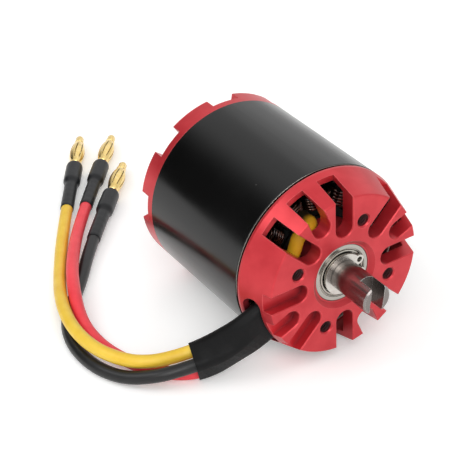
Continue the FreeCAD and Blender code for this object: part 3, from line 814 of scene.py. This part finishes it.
def addCage(colour, points, material):
    # barrel of sprung leaves between two bands
    c = cageSizes
    place = endFrame(points)
    start = plugSizes["cup"] + plugSizes["collar"] + c["clearance"]
    length = c["length"] - 2 * c["clearance"]
    low = plugSizes["coreRadius"] + c["endRise"]
    stations = c["stations"]
    count = c["leaves"] * c["perLeaf"]
    vertices = []
    for skin in (0, 1):
        for i in range(stations):
            t = i / (stations - 1)
            along = min(1.0, max(0.0, (t - c["flat"]) / (1 - 2 * c["flat"])))
            swell = math.sin(math.pi * along) ** c["fullness"]
            radius = low + (c["radius"] - low) * swell - skin * c["wall"]
            for j in range(count):
                turn = 2 * math.pi * j / count + c["lean"] * (t - 0.5)
                spot = Vector((start + length * t, radius * math.cos(turn), radius * math.sin(turn)))
                vertices.append(place @ spot)
    faces = []
    kept = set()
    for i in range(stations - 1):
        t = (i + 0.5) / (stations - 1)
        for j in range(count):
            inSlit = j % c["perLeaf"] == c["perLeaf"] - 1 and c["band"] < t < 1 - c["band"]
            if not inSlit:
                kept.add((i, j))
    layer = stations * count

    def at(i, j, skin):
        return skin * layer + i * count + j % count

    for i, j in sorted(kept):
        faces.append((at(i, j, 0), at(i + 1, j, 0), at(i + 1, j + 1, 0), at(i, j + 1, 0)))
        faces.append((at(i, j, 1), at(i, j + 1, 1), at(i + 1, j + 1, 1), at(i + 1, j, 1)))
        if (i, (j + 1) % count) not in kept:
            faces.append((at(i, j + 1, 0), at(i + 1, j + 1, 0), at(i + 1, j + 1, 1), at(i, j + 1, 1)))
        if (i, (j - 1) % count) not in kept:
            faces.append((at(i, j, 0), at(i, j, 1), at(i + 1, j, 1), at(i + 1, j, 0)))
        if (i - 1, j) not in kept:
            faces.append((at(i, j, 0), at(i, j + 1, 0), at(i, j + 1, 1), at(i, j, 1)))
        if (i + 1, j) not in kept:
            faces.append((at(i + 1, j, 0), at(i + 1, j, 1), at(i + 1, j + 1, 1), at(i + 1, j + 1, 0)))
    cage = addPiece(colour + "PlugCage", vertices, faces, "stator", material)
    sharpen(cage, 40)
    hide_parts(colour + "_plug_cage")
    return cage


# sleeve
sleeve = {
    "length": 23.0 * mm,
    "stations": 36,
    "around": 72,
    "wall": 0.3 * mm,
    "ease": 0.12 * mm,
    "slack": 0.09 * mm,
    "creases": 3,
    "creaseTurn": 9,  # radians from end to end
    "offFloor": 0.02 * mm,
}


def addSleeve(lines, material):
    # soft tube drawn over the three leads: taut between them, with slack creases
    count = sleeve["around"]
    outside = []
    inside = []
    for i in range(sleeve["stations"]):
        share = i / (sleeve["stations"] - 1)
        spots = [atDistance(points, sleeve["length"] * share) for points in lines]
        centre = sum((spot for spot, _ in spots), Vector()) / 3
        heading = sum((way for _, way in spots), Vector()).normalized()
        wide = spots[2][0] - spots[0][0]
        wide = (wide - heading * wide.dot(heading)).normalized()
        thick = heading.cross(wide)
        flat = [((spot - centre).dot(wide), (spot - centre).dot(thick)) for spot, _ in spots]
        outerRing = []
        innerRing = []
        for j in range(count):
            turn = 2 * math.pi * j / count
            way = (math.cos(turn), math.sin(turn))
            far = max(flat, key=lambda c: c[0] * way[0] + c[1] * way[1])
            crease = math.sin(sleeve["creases"] * turn + sleeve["creaseTurn"] * share) * abs(way[1])
            reach = leads["radius"] + sleeve["ease"] + sleeve["wall"] + sleeve["slack"] * share * crease
            for ring, distance in ((outerRing, reach), (innerRing, reach - sleeve["wall"])):
                spot = centre + wide * (far[0] + way[0] * distance) + thick * (far[1] + way[1] * distance)
                spot.z = max(spot.z, floorHeight + sleeve["offFloor"])
                ring.append(spot)
        outside.append(outerRing)
        inside.append(innerRing)
    rings = outside + inside[::-1]
    vertices = [v for ring in rings for v in ring]
    piece = addPiece("leadSleeve", vertices, gridFaces(len(rings), count, True), "stator",
                     material)
    sharpen(piece, 50)
    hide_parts("lead_sleeve")
    return piece


# windings
coilSizes = {
    "wire": 0.42 * mm,  # radius
    "rows": 5,
    "layers": 2,
    "layerStep": 1.9,  # wire radii from one layer to the next
    "inner": 13.3 * mm,  # from the shaft axis
    "outer": 17.3 * mm,
    "toNextCoil": 0.3 * mm,
    "corner": 1.3 * mm,
    "cornerSteps": 4,
    "looseness": 0.12,  # mm
    "lean": 0.1,  # mm
    "around": 7,
    "teeth": 12,
    "phases": {"a": (0, 1, 6, 7), "b": (2, 3, 8, 9), "c": (4, 5, 10, 11)},
}


def coilLoops(chance):
    # closed loops of wire round the tooth that points to +Y
    c = coilSizes
    back, front = (end[0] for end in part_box("winding_phase_a"))
    slope = math.tan(math.pi / c["teeth"])
    corner = c["corner"]
    loops = []
    for layer in range(c["layers"]):
        under = c["wire"] * (1 + c["layerStep"] * layer)
        for row in range(c["rows"]):
            reach = c["inner"] + (c["outer"] - c["inner"]) * (row + 0.5) / c["rows"]
            halfWide = reach * slope - c["toNextCoil"] - under
            start = front - under - chance.uniform(0, c["looseness"]) * mm
            end = back + under + chance.uniform(0, c["looseness"]) * mm
            lean = chance.uniform(-c["lean"], c["lean"]) * mm
            loop = []
            corners = [(start - corner, halfWide - corner, 0), (end + corner, halfWide - corner, 90),
                       (end + corner, -halfWide + corner, 180), (start - corner, -halfWide + corner, 270)]
            for x, z, first in corners:
                for step in range(c["cornerSteps"] + 1):
                    turn = math.radians(first + 90 * step / c["cornerSteps"])
                    side = 1 if z > 0 else -1
                    loop.append(Vector((x + corner * math.cos(turn), reach + lean * side,
                                        z + corner * math.sin(turn))))
            loops.append(loop)
    return loops


def loopTube(loop, radius, count, vertices, faces):
    offset = len(vertices)
    total = len(loop)
    for i, place in enumerate(loop):
        heading = (loop[(i + 1) % total] - loop[i - 1]).normalized()
        side = heading.cross(Vector((0, 1, 0))).normalized()
        lift = side.cross(heading)
        for j in range(count):
            turn = 2 * math.pi * j / count
            vertices.append(place + side * radius * math.cos(turn) + lift * radius * math.sin(turn))
    faces.extend(gridFaces(total, count, True, offset))


def addWindings(material):
    for phase, teeth in coilSizes["phases"].items():
        chance = random.Random(phase)
        vertices = []
        faces = []
        for tooth in teeth:
            turn = Matrix.Rotation(2 * math.pi * tooth / coilSizes["teeth"], 3, "X")
            first = len(vertices)
            for loop in coilLoops(chance):
                loopTube(loop, coilSizes["wire"], coilSizes["around"], vertices, faces)
            vertices[first:] = [turn @ v for v in vertices[first:]]
        piece = addPiece("winding" + phase.upper(), vertices, faces, "stator", material)
        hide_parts("winding_phase_" + phase)


# bearings
bearingSizes = {
    "outerRace": 6.88 * mm,
    "innerRace": 5.34 * mm,
    "around": 128,
}


def addShields(place, material):
    # pressed shields, snapped into a groove and dished round the inner ring
    low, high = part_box(place + "_bearing_outer_ring")
    outer = bearingSizes["outerRace"]
    inner = bearingSizes["innerRace"]
    half = [
        # mm behind the ring's face, radius
        (0.42, outer), (0.16, outer), (0.10, outer - 0.10 * mm), (0.12, outer - 0.26 * mm),
        (0.34, outer - 0.34 * mm), (0.36, outer - 0.46 * mm), (0.16, outer - 0.58 * mm),
        (0.10, outer - 0.74 * mm), (0.11, inner + 0.60 * mm), (0.24, inner + 0.50 * mm),
        (0.86, inner + 0.46 * mm), (0.90, inner), (1.02, inner), (1.02, outer - 0.40 * mm),
    ]
    vertices = []
    faces = []
    for side, face in ((-1, high[0]), (1, low[0])):
        profile = [(face + side * depth * mm, radius) for depth, radius in half]
        ring, quads = lathe(profile, bearingSizes["around"], True)
        offset = len(vertices)
        vertices.extend(ring)
        for quad in quads:
            faces.append(tuple(offset + k for k in quad[::-side]))  # the rear shield's faces turn round
    piece = addPiece(place + "BearingShields", vertices, faces, "stator", material)
    sharpen(piece, 35)
    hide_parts(place + "_bearing_shields")


# threads in the mounting holes
threadSizes = {
    "circle": 15.0 * mm,
    "radius": 1.64 * mm,
    "depth": 0.22 * mm,
    "pitch": 0.7 * mm,
    "length": 3.3 * mm,
    "start": 0.55 * mm,
    "flank": 0.24,  # half the ridge's foot, in pitches
    "holes": 4,
    "firstAngle": -109.75,
    "perTurn": 28,
}


def addThreads(material):
    # a ridge wound down the wall of each tapped hole
    s = threadSizes
    vertices = []
    faces = []
    steps = int(s["length"] / s["pitch"] * s["perTurn"])
    half = s["pitch"] * s["flank"]
    for hole in range(s["holes"]):
        angle = math.radians(s["firstAngle"] + 360 * hole / s["holes"])
        centre = Vector((0, s["circle"] * math.cos(angle), s["circle"] * math.sin(angle)))
        offset = len(vertices)
        for i in range(steps + 1):
            turn = 2 * math.pi * i / s["perTurn"]
            down = s["start"] + s["pitch"] * i / s["perTurn"]
            out = Vector((0, math.cos(turn), math.sin(turn)))
            for depth, reach in ((down - half, s["radius"]), (down, s["radius"] - s["depth"]),
                                 (down + half, s["radius"])):
                vertices.append(centre + out * reach + Vector((-depth, 0, 0)))
        for i in range(steps):
            for k in range(3):
                a = offset + i * 3 + k
                b = offset + i * 3 + (k + 1) % 3
                faces.append((a, b, b + 3, a + 3))
        faces.append((offset, offset + 2, offset + 1))
        last = offset + steps * 3
        faces.append((last, last + 1, last + 2))
    addPiece("mountingThreads", vertices, faces, "stator", material, False)


# put it together
addCamera()
addWorld()
addFloor()
addLamps()
print("camera and studio set")

finishes = {
    "red": redAnodised(),
    "can": blackCanPaint(),
    "shaft": groundSteel("ground shaft steel", "#6E6866", "#9A9491", 0.24, "#FAF8F4"),
    "bearing": groundSteel("ground bearing steel", "#918E87", "#BFBCB4", 0.14, "#FAF9F5"),
    "shield": pressedSteel("pressed shield steel", "#96928A", "#BEBAB1", 0.18),
    "ring": pressedSteel("polished spring steel", "#B4B0AA", "#DAD7D0", 0.24),
    "grub": pressedSteel("black oxide steel", "#1C1C1E", "#343436", 0.35),
    # painted shade: the thread crests are a far darker copy of the red, for the shade down in the tapped
    # holes
    "thread": softPlastic("thread crests with painted shade", "#24080B", "#4C1519", 0.3, 0.3 * mm, 0.1, 0.25),
    "magnet": pressedSteel("nickel plated magnet", "#9B9890", "#BDBAB2", 0.25),
    "plain": groundSteel("turned aluminium", "#A9AAAC", "#D2D3D5", 0.3, "#D2D3D5"),
    "core": laminationSteel(),
    "copper": enamelledCopper(),
    "board": softPlastic("varnished insulation board", "#0A0E0C", "#121A16", 0.5, 0.3 * mm, 0.2, 0.2),
    "gold": goldPlate(),
    "shrink": softPlastic("polyolefin heatshrink", "#121315", "#1B1C1F", 0.38, 0.5 * mm, 0.25, 0.32),
    "sleeve": softPlastic("soft vinyl sleeve", "#060607", "#0B0B0C", 0.5, 0.6 * mm, 0.12, 0.18),
    "yellow": softPlastic("yellow silicone", "#E6BA2C", "#EDC843", 0.4, 0.4 * mm, 0.12),
    # the tails are darker copies of the yellow and red silicone: painted shade inside the mount
    "yellowTail": shadedTailSilicone("yellow silicone with painted shade", "#C08F14", "#D2A322"),
    "redTail": shadedTailSilicone("red silicone with painted shade", "#A8222C", "#B92C35"),
    "black": softPlastic("black silicone", "#111112", "#1A1A1B", 0.36, 0.4 * mm, 0.12, 0.4),
    "redLead": softPlastic("red silicone", "#E8323F", "#F2424D", 0.4, 0.4 * mm, 0.12),
}
nodeFinishes = {
    "red": ["front_mount", "rear_bell"],
    "can": ["rotor_can"],
    "shaft": ["shaft"],
    "bearing": [place + "_bearing_" + part for place in ("front", "rear")
                for part in ("outer_ring", "balls", "inner_ring")],
    "ring": ["retaining_ring"],
    "grub": ["bell_grub_screws"],
    "magnet": ["magnets"],
    "plain": ["bearing_tube", "rear_spacer"],
    "core": ["stator_core"],
    "board": ["front_slot_insulator", "rear_slot_insulator"],
    "yellowTail": ["yellow_lead_tail"],
    "black": ["black_lead_tail"],
    "redTail": ["red_lead_tail"],
}
for finish, names in nodeFinishes.items():
    for name in names:
        nodes[name].data.materials.clear()
        nodes[name].data.materials.append(finishes[finish])
print("finishes made:", len(finishes))

leadFinish = {"yellow": finishes["yellow"], "black": finishes["black"], "red": finishes["redLead"]}
lines = {colour: centreLine(route) for colour, route in leads["routes"].items()}
sleevePiece = addSleeve([lines[colour] for colour in ("yellow", "black", "red")], finishes["sleeve"])
for number, (colour, route) in enumerate(leads["routes"].items()):
    lead = addLead(colour, leadFinish[colour])
    onLead = [
        addHeatshrink(colour, lines[colour], finishes["shrink"], 11 + number),
        addPlug(colour, lines[colour], finishes["gold"]),
        addCage(colour, lines[colour], finishes["gold"]),
    ]
    if colour == "black":
        onLead.append(sleevePiece)
print("leads, sleeve and plugs laid")

addWindings(finishes["copper"])
for place in ("front", "rear"):
    addShields(place, finishes["shield"])
addThreads(finishes["thread"])
print("windings, shields and threads made")

scene = bpy.context.scene
scene.view_settings.view_transform = "Standard"
